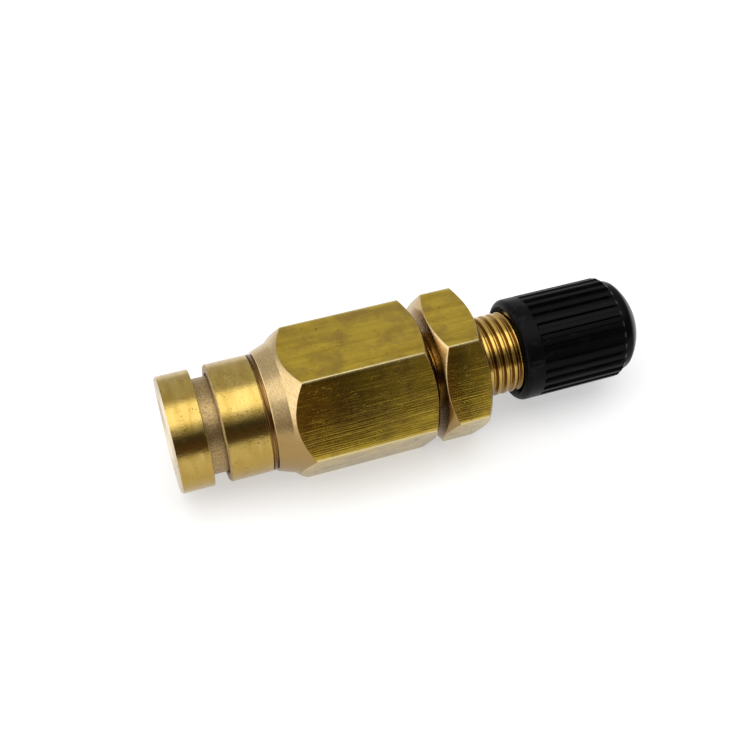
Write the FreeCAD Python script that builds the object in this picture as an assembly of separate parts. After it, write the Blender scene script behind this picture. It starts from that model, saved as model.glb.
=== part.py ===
"""Push-to-connect charging valve: tube port, hexagon body, panel nut, tyre-valve stem and dust cap.

Units are millimetres. +X runs along the valve's axis from the tube port to the dust cap, +Z is up
with a hexagon flat on top and another below. The origin is on the axis in the plane of the body's
shoulder, which is the face that a panel is clamped against.
"""
import FreeCAD, Part
import math
import os

# ---- Driving dimensions -------------------------------------------------------------------------

TUBE_OD = 6.35                    # quarter-inch tube that the port takes
HEX_FLATS = 12.7                  # half-inch hexagon bar, for the body and for the nut
STEM_THREAD_OD = 7.7              # tyre-valve thread 8V1
STEM_THREAD_PITCH = 25.4 / 32     # 32 turns per inch
CORE_THREAD_OD = 5.2              # valve-core thread 5V1
PIN_OD = 1.1                      # pin of the valve core

RELEASE_TRAVEL = 1.42             # how far the collet is pushed to let the tube go
PIN_TRAVEL = 1.2                  # how far the core's pin is pressed
RUNNING_GAP = 0.05                # radial clearance between a nut or cap and the stem's crests

HEX_LENGTH = 11.84                # from the cone's end at the hexagon's corners to the shoulder
CONE_LENGTH = 1.43
NOSE_LENGTH = 1.54
NOSE_OD = 12.2                    # where the nose meets the cone; it tapers towards its face
NOSE_FACE_OD = 11.16
RING_SLOT = 0.48                  # slot between the sleeve's flange and the nose
SLEEVE_LENGTH = 3.91              # the part of the sleeve that shows
SLEEVE_OD = 10.85
BUTTON_LENGTH = 3.07              # the collet's head
BUTTON_OD = 10.75
NECK_OD = 8.84                    # the collet behind its head

NUT_GAP = 0.85                    # space between the shoulder and the nut as it is stored
NUT_THICKNESS = 4.26
HEX_FACE_OD = 12.48               # circle left on a hexagon's end by its chamfer
HEX_CHAMFER = 0.72                # axial depth of that chamfer at the corners

STEM_LENGTH = 16.5                # from the shoulder to the stem's mouth
CAP_OD = 9.82
CAP_START = 9.15                  # open face of the cap, from the shoulder
CAP_COLLAR = 1.83                 # plain collar before the ribs
CAP_RIBS_LENGTH = 8.52
CAP_END_OD = 8.8                  # smooth end beyond the ribs
CAP_END_LENGTH = 0.75
CAP_DOME_HEIGHT = 1.9
RIB_COUNT = 28
RIB_DEPTH = 0.32

# ---- Stations along the axis --------------------------------------------------------------------

HEX_CORNER_RADIUS = HEX_FLATS / 2 / math.cos(math.pi / 6)
TUBE_BORE = TUBE_OD / 2 + 0.075
CREST_BORE = STEM_THREAD_OD / 2 + RUNNING_GAP

CONE_END = -HEX_LENGTH
CONE_START = CONE_END - CONE_LENGTH
NOSE_FACE = CONE_START - NOSE_LENGTH
SLEEVE_FLANGE_END = NOSE_FACE - RING_SLOT
SLEEVE_FACE = SLEEVE_FLANGE_END - SLEEVE_LENGTH
BUTTON_BACK = SLEEVE_FACE - RELEASE_TRAVEL
BUTTON_FACE = BUTTON_BACK - BUTTON_LENGTH

# The tube socket, from the nose inwards: counterbore for the sleeve, seal pocket, socket, stop.
COUNTERBORE_RADIUS = 5.05
COUNTERBORE_END = NOSE_FACE + 5.0
BACKUP_THICKNESS = 0.6
O_RING_SECTION = 1.78
SEAL_POCKET_RADIUS = TUBE_BORE + O_RING_SECTION - 0.17
SEAL_POCKET_END = COUNTERBORE_END + BACKUP_THICKNESS + O_RING_SECTION + 0.02
TUBE_STOP = SEAL_POCKET_END + 2.1
SUPPORT_RADIUS = 2.15
STEM_SOCKET_START = TUBE_STOP + 1.2
STEM_SPIGOT_RADIUS = 3.4

# The valve core, from its seat outwards. The pin's tip is just below the stem's mouth.
PASSAGE_RADIUS = 1.6
CHAMBER_RADIUS = 2.1
CHAMBER_START = STEM_LENGTH - 12.6
RIM_X = STEM_LENGTH - 9.0         # the barrel's inner rim, which the plunger closes on
GASKET_START = STEM_LENGTH - 5.2
GASKET_END = STEM_LENGTH - 4.2
PLUG_START = STEM_LENGTH - 3.9
PLUG_END = STEM_LENGTH - 0.2
PIN_TIP = STEM_LENGTH - 0.25
PLUG_RADIUS = CORE_THREAD_OD / 2
SPRING_START = RIM_X + 0.6
COLLAR_START = SPRING_START + 3.2
COLLAR_THICKNESS = 0.3
CLOSED_GAP = 0.02                 # faces that close on each other across a joint

CAP_BORE_END = STEM_LENGTH + 1.1
CAP_RIBS_START = CAP_START + CAP_COLLAR
CAP_RIBS_END = CAP_RIBS_START + CAP_RIBS_LENGTH
CAP_DOME_START = CAP_RIBS_END + CAP_END_LENGTH


# ---- Helpers ------------------------------------------------------------------------------------

def axial(x, radius=0.0, angle=0.0):
    """A point at station x, at a radius from the valve's axis."""
    return FreeCAD.Vector(x, radius * math.cos(angle), radius * math.sin(angle))


def corner_arc(before, corner, after, radius):
    """The arc that rounds one corner of an outline, or None where the corner is sharp."""
    if radius == 0:
        return None
    towards_before = (before - corner).normalize()
    towards_after = (after - corner).normalize()
    half_angle = towards_before.getAngle(towards_after) / 2
    reach = radius / math.tan(half_angle)
    middle = (towards_before + towards_after).normalize()
    centre = corner + middle * (radius / math.sin(half_angle))
    return Part.Arc(corner + towards_before * reach, centre - middle * radius,
                    corner + towards_after * reach).toShape()


def outline_face(points):
    """A face in the XY plane from (x, radius) or (x, radius, rounding) corners."""
    corners = [FreeCAD.Vector(point[0], point[1], 0) for point in points]
    roundings = [point[2] if len(point) > 2 else 0 for point in points]
    arcs = []
    for index, corner in enumerate(corners):
        following = corners[(index + 1) % len(corners)]
        arcs.append(corner_arc(corners[index - 1], corner, following, roundings[index]))
    edges = []
    for index, arc in enumerate(arcs):
        following = (index + 1) % len(corners)
        start = arc.Vertexes[-1].Point if arc else corners[index]
        end = arcs[following].Vertexes[0].Point if arcs[following] else corners[following]
        if arc:
            edges.append(arc)
        if (end - start).Length > 1e-7:
            edges.append(Part.makeLine(start, end))
    return Part.Face(Part.Wire(Part.__sortEdges__(edges)))


def turned(*points):
    """A solid of revolution about the valve's axis, from corners in order around its outline."""
    following = points[1:] + points[:1]
    turning = sum(a[0] * b[1] - b[0] * a[1] for a, b in zip(points, following))
    anticlockwise = points if turning > 0 else points[::-1]
    return outline_face(anticlockwise).revolve(axial(0), FreeCAD.Vector(1, 0, 0), 360)


def rod(start, end, radius):
    return Part.makeCylinder(radius, end - start, axial(start), FreeCAD.Vector(1, 0, 0))


def tube(start, end, inner, outer):
    return rod(start, end, outer).cut(rod(start, end, inner))


def hex_bar(start, end):
    """Drawn hexagon bar with flats facing up and down and its long edges just broken."""
    corners = [axial(start, HEX_CORNER_RADIUS, math.radians(60 * turn)) for turn in range(7)]
    prism = Part.Face(Part.makePolygon(corners)).extrude(FreeCAD.Vector(end - start, 0, 0))
    long_edges = [edge for edge in prism.Edges if edge.Length > 0.999 * (end - start)
                  and abs(edge.tangentAt(edge.FirstParameter).x) > 0.99]
    return prism.makeFillet(0.12, long_edges)


# ---- Tube port ----------------------------------------------------------------------------------

FINGER_END = NOSE_FACE + 3.42
CAM_START = NOSE_FACE + 2.02      # where the sleeve's bore starts to open for the fingers
FINGER_SLOTS = 6
SLOT_WIDTH = 0.7
SLOT_START = SLEEVE_FACE + 1.5


def release_collet():
    neck = NECK_OD / 2
    head = BUTTON_OD / 2
    barb = FINGER_END - 0.5
    collet = turned(
        (BUTTON_FACE, TUBE_BORE + 0.36), (BUTTON_FACE, head - 0.2, 0.04),
        (BUTTON_FACE + 0.2, head, 0.08), (BUTTON_BACK, head, 0.08), (BUTTON_BACK, neck, 0.1),
        (CAM_START + 0.1, neck), (CAM_START + 1.1, neck + 0.28), (FINGER_END - 0.15, neck + 0.28),
        (FINGER_END, neck + 0.1), (FINGER_END, TUBE_BORE), (barb, TUBE_BORE),
        (barb, TUBE_BORE - 0.15), (barb - 0.6, TUBE_BORE), (BUTTON_FACE + 0.36, TUBE_BORE))
    for index in range(FINGER_SLOTS):
        slot = Part.makeBox(FINGER_END - SLOT_START + 1, SLOT_WIDTH, head,
                            FreeCAD.Vector(SLOT_START, -SLOT_WIDTH / 2, 1))
        slot.rotate(axial(0), FreeCAD.Vector(1, 0, 0), 360 / FINGER_SLOTS * index)
        collet = collet.cut(slot)
    return collet


def retainer_sleeve():
    outer = SLEEVE_OD / 2
    mouth = NECK_OD / 2 + 0.28
    lip = NECK_OD / 2 + 0.1
    return turned(
        (SLEEVE_FACE, mouth, 0.12), (SLEEVE_FACE, outer - 0.15, 0.04),
        (SLEEVE_FACE + 0.15, outer, 0.06), (SLEEVE_FLANGE_END, outer, 0.08),
        (SLEEVE_FLANGE_END, COUNTERBORE_RADIUS), (NOSE_FACE + 4.0, COUNTERBORE_RADIUS),
        (NOSE_FACE + 4.0, lip + 0.33), (CAM_START + 1.4, lip + 0.33), (CAM_START, lip),
        (CAM_START - 0.7, lip), (CAM_START - 0.9, mouth))


def shim_ring():
    start = SLEEVE_FLANGE_END + 0.1
    end = NOSE_FACE - 0.1
    outer = SLEEVE_OD / 2 - 0.02
    inner = COUNTERBORE_RADIUS + 0.01
    return turned((start, inner), (start, outer, 0.08), (end, outer, 0.08), (end, inner))


def backup_ring():
    return tube(COUNTERBORE_END, COUNTERBORE_END + BACKUP_THICKNESS, TUBE_BORE + 0.05,
                SEAL_POCKET_RADIUS)


def tube_o_ring():
    section = O_RING_SECTION / 2
    middle = COUNTERBORE_END + BACKUP_THICKNESS + section + 0.01
    return Part.makeTorus(SEAL_POCKET_RADIUS - section - 0.01, section, axial(middle),
                          FreeCAD.Vector(1, 0, 0))


def tube_support():
    inner = SUPPORT_RADIUS - 0.45
    start = FINGER_END + 0.3
    return turned(
        (start, inner), (start, SUPPORT_RADIUS, 0.15), (TUBE_STOP - 0.6, SUPPORT_RADIUS),
        (TUBE_STOP - 0.6, TUBE_BORE - 0.02), (TUBE_STOP, TUBE_BORE - 0.02),
        (TUBE_STOP, SUPPORT_RADIUS), (STEM_SOCKET_START, SUPPORT_RADIUS),
        (STEM_SOCKET_START, inner))


# ---- Body, stem and panel nut -------------------------------------------------------------------

def end_chamfer(face, inward):
    """The two outline corners of a hexagon's end: inward is +1 or -1 along X from the face."""
    beyond = HEX_CORNER_RADIUS + 0.2
    slope = HEX_CHAMFER / (HEX_CORNER_RADIUS - HEX_FACE_OD / 2)
    return (face, HEX_FACE_OD / 2), (face + inward * slope * (beyond - HEX_FACE_OD / 2), beyond)


def valve_body():
    beyond = HEX_CORNER_RADIUS + 0.2
    nose = NOSE_OD / 2
    cone_slope = CONE_LENGTH / (HEX_CORNER_RADIUS - nose)
    face_corner, chamfer_corner = end_chamfer(0, -1)
    envelope = turned(
        (NOSE_FACE, 0), (NOSE_FACE, NOSE_FACE_OD / 2, 0.1), (CONE_START, nose),
        (CONE_START + cone_slope * (beyond - nose), beyond), chamfer_corner, face_corner, (0, 0))
    socket = turned(
        (NOSE_FACE, 0), (NOSE_FACE, COUNTERBORE_RADIUS), (COUNTERBORE_END, COUNTERBORE_RADIUS),
        (COUNTERBORE_END, SEAL_POCKET_RADIUS), (SEAL_POCKET_END, SEAL_POCKET_RADIUS),
        (SEAL_POCKET_END, TUBE_BORE), (TUBE_STOP, TUBE_BORE), (TUBE_STOP, SUPPORT_RADIUS),
        (STEM_SOCKET_START, SUPPORT_RADIUS), (STEM_SOCKET_START, STEM_SPIGOT_RADIUS),
        (0, STEM_SPIGOT_RADIUS), (0, 0))
    return hex_bar(NOSE_FACE, 0).common(envelope).cut(socket)


def valve_stem():
    crest = STEM_THREAD_OD / 2
    spigot = turned(
        (STEM_SOCKET_START, PASSAGE_RADIUS), (STEM_SOCKET_START, STEM_SPIGOT_RADIUS),
        (0, STEM_SPIGOT_RADIUS), (0, crest), (STEM_LENGTH - 0.5, crest),
        (STEM_LENGTH, crest - 0.5), (STEM_LENGTH, PLUG_RADIUS + 0.3),
        (STEM_LENGTH - 0.3, PLUG_RADIUS + 0.01), (GASKET_END, PLUG_RADIUS + 0.01),
        (GASKET_START, CHAMBER_RADIUS), (CHAMBER_START, CHAMBER_RADIUS),
        (CHAMBER_START - 0.5, PASSAGE_RADIUS))
    return spigot


def panel_nut():
    start = NUT_GAP
    end = NUT_GAP + NUT_THICKNESS
    countersink = CREST_BORE + 0.35
    left_face, left_chamfer = end_chamfer(start, 1)
    right_face, right_chamfer = end_chamfer(end, -1)
    envelope = turned(
        (start, countersink), left_face, left_chamfer, right_chamfer, right_face,
        (end, countersink), (end - 0.35, CREST_BORE), (start + 0.35, CREST_BORE))
    return hex_bar(start, end).common(envelope)


# ---- Valve core ---------------------------------------------------------------------------------

def core_plug():
    """Threaded head: a round body with a flat-sided bridge that a core key turns."""
    bridge_start = PLUG_END - 1.0
    plug = tube(PLUG_START, PLUG_END, 0.9, PLUG_RADIUS)
    for side in (-1, 1):
        flat = Part.makeBox(PLUG_END - bridge_start, PLUG_RADIUS, 2 * PLUG_RADIUS,
                            FreeCAD.Vector(bridge_start, 1.3 if side > 0 else -1.3 - PLUG_RADIUS,
                                           -PLUG_RADIUS))
        plug = plug.cut(flat)
    return plug


def core_barrel():
    spring_bore = 1.35
    spring_roof = COLLAR_START + COLLAR_THICKNESS + 0.1
    return turned(
        (RIM_X, 1.0), (RIM_X, 1.2), (RIM_X + 0.3, 1.9), (GASKET_START, 1.9), (GASKET_START, 1.6),
        (GASKET_END, 1.6), (GASKET_END, 2.3), (PLUG_START, 2.3), (PLUG_START, PIN_OD / 2 + 0.1),
        (spring_roof, PIN_OD / 2 + 0.1), (spring_roof, spring_bore), (SPRING_START, spring_bore),
        (SPRING_START, 1.0))


def core_gasket():
    return turned((GASKET_START, 1.6), (GASKET_START, CHAMBER_RADIUS - 0.01),
                  (GASKET_END, PLUG_RADIUS - 0.01), (GASKET_END, 1.6))


def core_spring():
    """Coil spring between the barrel's step and the collar on the pin."""
    wire = 0.12
    coil = 1.18
    length = COLLAR_START - SPRING_START - 2 * wire - 0.04
    helix = Part.makeHelix(length / 5, length, coil)
    section = Part.Wire(Part.makeCircle(wire, FreeCAD.Vector(coil, 0, 0),
                                        FreeCAD.Vector(0, 1, length / 5 / (2 * math.pi * coil))))
    spring = Part.Wire(helix).makePipeShell([section], True, True)
    spring.rotate(FreeCAD.Vector(0, 0, 0), FreeCAD.Vector(0, 1, 0), 90)
    spring.translate(axial(SPRING_START + wire + 0.02))
    return spring


def core_pin():
    radius = PIN_OD / 2
    foot = RIM_X - 1.6
    return turned((foot, 0), (foot, radius + 0.3, 0.08), (foot + 0.3, radius + 0.3),
                  (foot + 0.3, radius), (PIN_TIP, radius, 0.25), (PIN_TIP, 0))


def pin_collar():
    return tube(COLLAR_START, COLLAR_START + COLLAR_THICKNESS, PIN_OD / 2, 1.25)


def plunger_cup():
    start = RIM_X - 1.3
    return turned((start, PIN_OD / 2), (start, 1.65, 0.15), (start + 0.75, 1.65),
                  (start + 0.75, 1.5), (start + 0.25, 1.5), (start + 0.25, PIN_OD / 2))


def plunger_seal():
    return turned((RIM_X - 1.05, PIN_OD / 2), (RIM_X - 1.05, 1.5), (RIM_X - CLOSED_GAP, 1.5, 0.1),
                  (RIM_X - CLOSED_GAP, PIN_OD / 2))


# ---- Dust cap -----------------------------------------------------------------------------------

def dust_cap():
    outer = CAP_OD / 2
    end = CAP_END_OD / 2
    tip = CAP_DOME_START + CAP_DOME_HEIGHT
    shell = turned(
        (CAP_START, CREST_BORE + 0.5, 0.1), (CAP_START, outer, 0.6), (CAP_RIBS_END - 0.35, outer),
        (CAP_RIBS_END, outer - 0.35), (CAP_RIBS_END, end), (CAP_DOME_START, end),
        (CAP_DOME_START, 0), (CAP_BORE_END, 0), (CAP_BORE_END, CREST_BORE),
        (CAP_START + 0.6, CREST_BORE))
    dome_radius = (end ** 2 + CAP_DOME_HEIGHT ** 2) / (2 * CAP_DOME_HEIGHT)
    dome = Part.makeSphere(dome_radius, axial(tip - dome_radius)).common(
        rod(CAP_DOME_START, tip + 1, end))
    shell = shell.fuse(dome).removeSplitter()
    groove_width = math.pi * CAP_OD / RIB_COUNT * 0.45
    grooves = []
    for index in range(RIB_COUNT):
        groove = Part.makeBox(CAP_RIBS_LENGTH + 1, groove_width, 1,
                              FreeCAD.Vector(CAP_RIBS_START, -groove_width / 2, outer - RIB_DEPTH))
        groove.rotate(axial(0), FreeCAD.Vector(1, 0, 0), 360 / RIB_COUNT * (index + 0.5))
        grooves.append(groove)
    return shell.cut(Part.makeCompound(grooves))


def cap_gasket():
    """Sealing disc, hollow in the middle so that it never presses the core's pin."""
    start = STEM_LENGTH + CLOSED_GAP
    end = CAP_BORE_END - CLOSED_GAP
    outer = CREST_BORE - 0.2
    return turned((start, 1.6), (start, outer), (end, outer), (end, 0), (start + 0.4, 0),
                  (start + 0.4, 1.6))


# ---- Write each piece ---------------------------------------------------------------------------

PIECES = (
    release_collet, retainer_sleeve, shim_ring, backup_ring, tube_o_ring, tube_support,
    valve_body, valve_stem, panel_nut,
    core_plug, core_barrel, core_gasket, core_spring, core_pin, pin_collar, plunger_cup,
    plunger_seal, dust_cap, cap_gasket)

os.makedirs("parts", exist_ok=True)
for make_piece in PIECES:
    shape = make_piece()
    if shape.ShapeType == "Compound" and len(shape.Solids) == 1:
        shape = shape.Solids[0]
    box = shape.BoundBox
    print("%-16s solids %d valid %s volume %8.2f  x %7.2f to %6.2f" % (
        make_piece.__name__, len(shape.Solids), shape.isValid(), shape.Volume, box.XMin, box.XMax))
    shape.exportStep("parts/%s.step" % make_piece.__name__)
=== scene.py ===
# %% [markdown]
# # A push-to-connect charging valve
# The real object is a small brass valve, about 46 mm long. A quarter-inch tube pushes into the port
# on the left, a hexagon body carries the seals, a threaded tyre-valve stem comes out on the right
# with a loose panel nut on it, and a ribbed black plastic cap screws over the stem's mouth.
# The design already holds every size and every moving body, so this lesson starts from that frame,
# keeps the pieces whose shape is right, remodels the four whose surfaces need more than plain
# solids, and gives every piece a finish.

# %% Load the frame
import bpy
import bmesh
import math
from mathutils import Matrix, Vector


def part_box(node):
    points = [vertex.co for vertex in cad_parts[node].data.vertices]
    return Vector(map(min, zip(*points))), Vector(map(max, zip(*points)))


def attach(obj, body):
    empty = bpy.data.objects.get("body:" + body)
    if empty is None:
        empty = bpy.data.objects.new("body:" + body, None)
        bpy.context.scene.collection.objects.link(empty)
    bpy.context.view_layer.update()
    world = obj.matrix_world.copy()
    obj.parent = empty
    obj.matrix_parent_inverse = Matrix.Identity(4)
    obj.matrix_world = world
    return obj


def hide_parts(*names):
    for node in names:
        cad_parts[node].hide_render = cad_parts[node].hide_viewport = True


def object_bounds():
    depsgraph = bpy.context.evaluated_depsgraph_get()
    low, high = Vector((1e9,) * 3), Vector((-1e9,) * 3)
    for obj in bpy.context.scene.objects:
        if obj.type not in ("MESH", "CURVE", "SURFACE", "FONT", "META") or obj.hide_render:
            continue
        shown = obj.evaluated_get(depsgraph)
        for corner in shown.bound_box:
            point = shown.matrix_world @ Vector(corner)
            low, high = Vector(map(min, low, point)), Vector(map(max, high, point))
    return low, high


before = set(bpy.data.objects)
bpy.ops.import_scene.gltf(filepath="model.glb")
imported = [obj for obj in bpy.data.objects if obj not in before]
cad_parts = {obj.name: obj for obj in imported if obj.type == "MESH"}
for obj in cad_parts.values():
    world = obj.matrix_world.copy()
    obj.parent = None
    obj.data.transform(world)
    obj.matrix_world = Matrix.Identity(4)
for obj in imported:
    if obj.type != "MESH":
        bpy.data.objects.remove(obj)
cad_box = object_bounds()
MM = 0.001
print("pieces in the frame:", sorted(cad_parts))
print("box in millimetres:", [round(v / MM, 2) for corner in cad_box for v in corner])

# %% [markdown]
# The four remodelled pieces take their sizes from the frame's boxes. The thread is the one on every
# car tyre valve, 32 turns to the inch. Only what the boxes can't say is named here.

# %% Sizes of the remodelled pieces
body_low, body_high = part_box("valve_body")
stem_low, stem_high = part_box("valve_stem")
nut_low, nut_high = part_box("panel_nut")
cap_low, cap_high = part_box("dust_cap")

HEX_FLATS = body_high.z * 2
HEX_CORNER = HEX_FLATS / 2 / math.cos(math.pi / 6)
HEX_FACE_RADIUS = 6.24 * MM          # circle that the chamfer leaves on a hexagon's end
HEX_CHAMFER = 0.72 * MM              # axial depth of the chamfer at the corners
BEYOND_CORNERS = HEX_CORNER + 0.3 * MM   # a turned outline this wide leaves the corners alone
PITCH = 25.4 * MM / 32
CREST = stem_high.z
THREAD_DEPTH = 0.32 * MM
THREAD_GAP = 0.03 * MM               # between the nut's thread and the stem's
print("hexagon", round(HEX_FLATS / MM, 2), "mm across flats")
print("thread", round(2 * CREST / MM, 2), "mm across its crests")

# %% [markdown]
# Almost everything on this valve came off a lathe. By hand, a turned piece is half a section drawn
# with one vertex that is extruded again and again, and then spun round the axis. These helpers do
# exactly that. Everything is deselected first, because an operator acts on all that is selected.

# %% Helpers: draw half a section, spin it, tidy it
def only(piece):
    """Leave edit mode and make this the one selected object."""
    if bpy.context.object and bpy.context.object.mode != "OBJECT":
        bpy.ops.object.mode_set(mode="OBJECT")
    bpy.ops.object.select_all(action="DESELECT")
    piece.select_set(True)
    bpy.context.view_layer.objects.active = piece


def draw_section(name, corners):
    """A chain of edges in the XZ plane through (x, radius) corners: one vertex, extruded."""
    bpy.ops.object.select_all(action="DESELECT")
    bpy.ops.mesh.primitive_plane_add(size=MM)
    piece = bpy.context.object
    piece.name = piece.data.name = name
    bpy.ops.object.mode_set(mode="EDIT")
    bpy.ops.mesh.merge(type="CENTER")
    bpy.ops.transform.translate(value=(corners[0][0], 0, corners[0][1]))
    for here, there in zip(corners, corners[1:]):
        step = (there[0] - here[0], 0, there[1] - here[1])
        bpy.ops.mesh.extrude_vertices_move(TRANSFORM_OT_translate={"value": step})
    bpy.ops.object.mode_set(mode="OBJECT")
    return piece


def merge_doubles(piece, outwards=True):
    only(piece)
    bpy.ops.object.mode_set(mode="EDIT")
    bpy.ops.mesh.select_all(action="SELECT")
    bpy.ops.mesh.remove_doubles(threshold=0.0004 * MM)
    if outwards:
        bpy.ops.mesh.normals_make_consistent(inside=False)
    bpy.ops.object.mode_set(mode="OBJECT")


def turn(name, corners, steps=128):
    """A closed turned solid: the section, which ends on the axis, is spun once round X."""
    piece = draw_section(name, corners)
    bpy.ops.object.mode_set(mode="EDIT")
    bpy.ops.mesh.select_all(action="SELECT")
    bpy.ops.mesh.spin(steps=steps, angle=2 * math.pi, center=(0, 0, 0), axis=(1, 0, 0))
    merge_doubles(piece)
    return piece


def apply_modifier(piece, kind, **settings):
    only(piece)
    modifier = piece.modifiers.new(kind.lower(), kind)
    for setting, value in settings.items():
        setattr(modifier, setting, value)
    bpy.ops.object.modifier_apply(modifier=modifier.name)


def combine(piece, other, operation):
    """Joins, cuts or intersects with another solid, which is used up."""
    apply_modifier(piece, "BOOLEAN", object=other, operation=operation, solver="EXACT")
    bpy.data.objects.remove(other)
    merge_doubles(piece, outwards=False)


def smooth(piece, degrees=30):
    only(piece)
    bpy.ops.object.shade_smooth_by_angle(angle=math.radians(degrees))


def report(piece):
    mesh = piece.data
    shape = bmesh.new()
    shape.from_mesh(mesh)
    open_edges = sum(not edge.is_manifold for edge in shape.edges)
    print(piece.name, len(mesh.polygons), "faces,", open_edges, "open edges,",
          round(shape.calc_volume() / MM ** 3, 1), "cubic mm")
    shape.free()


def rounded(centre, radius, start, end, count):
    """Corners on an arc, from the start angle to the end angle in degrees."""
    angles = [math.radians(start + (end - start) * i / count) for i in range(count + 1)]
    return [(centre[0] + radius * math.cos(a), centre[1] + radius * math.sin(a)) for a in angles]


# %% [markdown]
# ## The thread
# A thread is one ridge wound round the stem. It could be carved from a cylinder, but the simplest
# way by hand is to draw one pitch of the ridge and let a Screw modifier wind it, moving one pitch
# along at each turn. The ridge is a list of shares of the pitch with the height at each, from 0 at
# the root to 1 at the crest: two steep flanks, a broad flat crest and a narrower root, with eased
# corners.
# The same winding, made a hair larger, is the tap that cuts the nut's thread, which is then in step
# with the stem's, as real ones are.

# %% Helper: a solid threaded bar
THREAD_STEPS = 72
RIDGE = ((0.0, 0.0), (0.07, 0.0), (0.10, 0.05), (0.29, 0.88), (0.32, 0.97), (0.36, 1.0),
         (0.64, 1.0), (0.68, 0.97), (0.71, 0.88), (0.90, 0.05), (0.93, 0.0), (1.0, 0.0))


def threaded_bar(name, start, end, grow=0.0):
    """A bar with a right-hand thread between two stations, flat at both ends."""
    first_turn = math.floor(start / PITCH) - 1
    turns = math.ceil(end / PITCH) + 1 - first_turn
    section = [((first_turn + share) * PITCH, CREST + grow - THREAD_DEPTH * (1 - height))
               for share, height in RIDGE]
    bar = draw_section(name, section)
    apply_modifier(bar, "SCREW", axis="X", angle=2 * math.pi, screw_offset=PITCH,
                   iterations=turns, steps=THREAD_STEPS, render_steps=THREAD_STEPS,
                   use_merge_vertices=True, merge_threshold=0.0005 * MM)
    bpy.ops.object.mode_set(mode="EDIT")
    for station, outside in ((start, -1), (end, 1)):
        bpy.ops.mesh.select_all(action="SELECT")
        bpy.ops.mesh.bisect(plane_co=(station, 0, 0), plane_no=(outside, 0, 0), use_fill=True,
                            clear_outer=True, threshold=1e-7)
    merge_doubles(bar)
    return bar


# %% [markdown]
# ## The stem
# The stem is the part of a tyre valve that everyone knows: a threaded tube with the valve core
# screwed inside. Its plain spigot is pressed into the body. A real die leaves a chamfer at the
# mouth, so the wound bar is intersected with a turned outline that has one, and then bored.

# %% The threaded stem
gasket_low, gasket_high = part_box("core_gasket")
core_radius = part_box("core_plug")[1].z
SHOULDER = 0.0                       # the body's right face is the origin of the frame
MOUTH = stem_high.x
SPIGOT_RADIUS = 3.4 * MM
SPIGOT_CHAMFER = 0.2 * MM
SPIGOT_OVERLAP = 0.05 * MM           # how far the spigot reaches into the threaded bar
PASSAGE_RADIUS = 1.6 * MM
PASSAGE_END = 3.4 * MM
CHAMBER_RADIUS = 2.1 * MM
CHAMBER_START = 3.9 * MM
ABOVE_CREST = CREST + 0.05 * MM
core_bore = core_radius + 0.01 * MM
stem = threaded_bar("threaded_stem", -0.3 * MM, MOUTH + 0.2 * MM)
outline = turn("stem_outline", [
    (-MM, 0), (-MM, SPIGOT_RADIUS), (SHOULDER, SPIGOT_RADIUS + 0.02 * MM),
    (SHOULDER, CREST - 0.3 * MM), (0.15 * MM, ABOVE_CREST), (MOUTH - 0.5 * MM, ABOVE_CREST),
    (MOUTH, CREST - 0.45 * MM), (MOUTH, 0)])
combine(stem, outline, "INTERSECT")
spigot = turn("spigot", [
    (stem_low.x, 0), (stem_low.x, SPIGOT_RADIUS - SPIGOT_CHAMFER),
    (stem_low.x + SPIGOT_CHAMFER, SPIGOT_RADIUS), (SPIGOT_OVERLAP, SPIGOT_RADIUS),
    (SPIGOT_OVERLAP, 0)])
combine(stem, spigot, "UNION")
bore = turn("stem_bore", [
    (stem_low.x - MM, 0), (stem_low.x - MM, PASSAGE_RADIUS), (PASSAGE_END, PASSAGE_RADIUS),
    (CHAMBER_START, CHAMBER_RADIUS), (gasket_low.x, CHAMBER_RADIUS),
    (gasket_high.x, core_bore), (MOUTH - 0.3 * MM, core_bore),
    (MOUTH + 0.1 * MM, core_radius + 0.41 * MM), (MOUTH + 0.1 * MM, 0)])
combine(stem, bore, "DIFFERENCE")
smooth(stem, 40)
report(stem)

# %% [markdown]
# ## Hexagons
# The body and the nut are cut from drawn hexagon bar. The bar is a six-sided cylinder whose long
# edges are just broken. On the lathe its ends are chamfered, which leaves the curved bright edges
# that every nut has: that is the bar intersected with a turned outline. Last, a very small bevel
# stands for the deburring of every edge, because perfectly sharp edges catch no light.
# The corners are broken in edit mode, and the edges to bevel are picked by their direction.

# %% Helpers: chamfered hexagon bar, deburred edges
BROKEN_CORNER = 0.06 * MM
DEBURRED = 0.025 * MM


def end_chamfer(face, inward):
    """Two corners of a turned outline at a hexagon's end, the face side first."""
    slope = HEX_CHAMFER / (HEX_CORNER - HEX_FACE_RADIUS)
    return [(face, HEX_FACE_RADIUS),
            (face + inward * slope * (BEYOND_CORNERS - HEX_FACE_RADIUS), BEYOND_CORNERS)]


def hexagon(name, start, end, outline_corners):
    """Hexagon bar between two stations, with flats up and down, turned to an outline."""
    bpy.ops.object.select_all(action="DESELECT")
    bpy.ops.mesh.primitive_cylinder_add(
        vertices=6, radius=HEX_CORNER, depth=end - start,
        location=((start + end) / 2, 0, 0), rotation=(0, math.pi / 2, 0))
    piece = bpy.context.object
    piece.name = piece.data.name = name
    bpy.ops.object.transform_apply(location=True, rotation=True, scale=True)
    bpy.ops.object.mode_set(mode="EDIT")
    bpy.ops.mesh.select_all(action="DESELECT")
    shape = bmesh.from_edit_mesh(piece.data)
    for edge in shape.edges:
        along = (edge.verts[0].co - edge.verts[1].co).normalized()
        edge.select_set(abs(along.x) > 0.9)
    bmesh.update_edit_mesh(piece.data)
    bpy.ops.mesh.bevel(offset=BROKEN_CORNER, segments=3, affect="EDGES")
    bpy.ops.object.mode_set(mode="OBJECT")
    combine(piece, turn(name + "_outline", outline_corners), "INTERSECT")
    return piece


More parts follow.
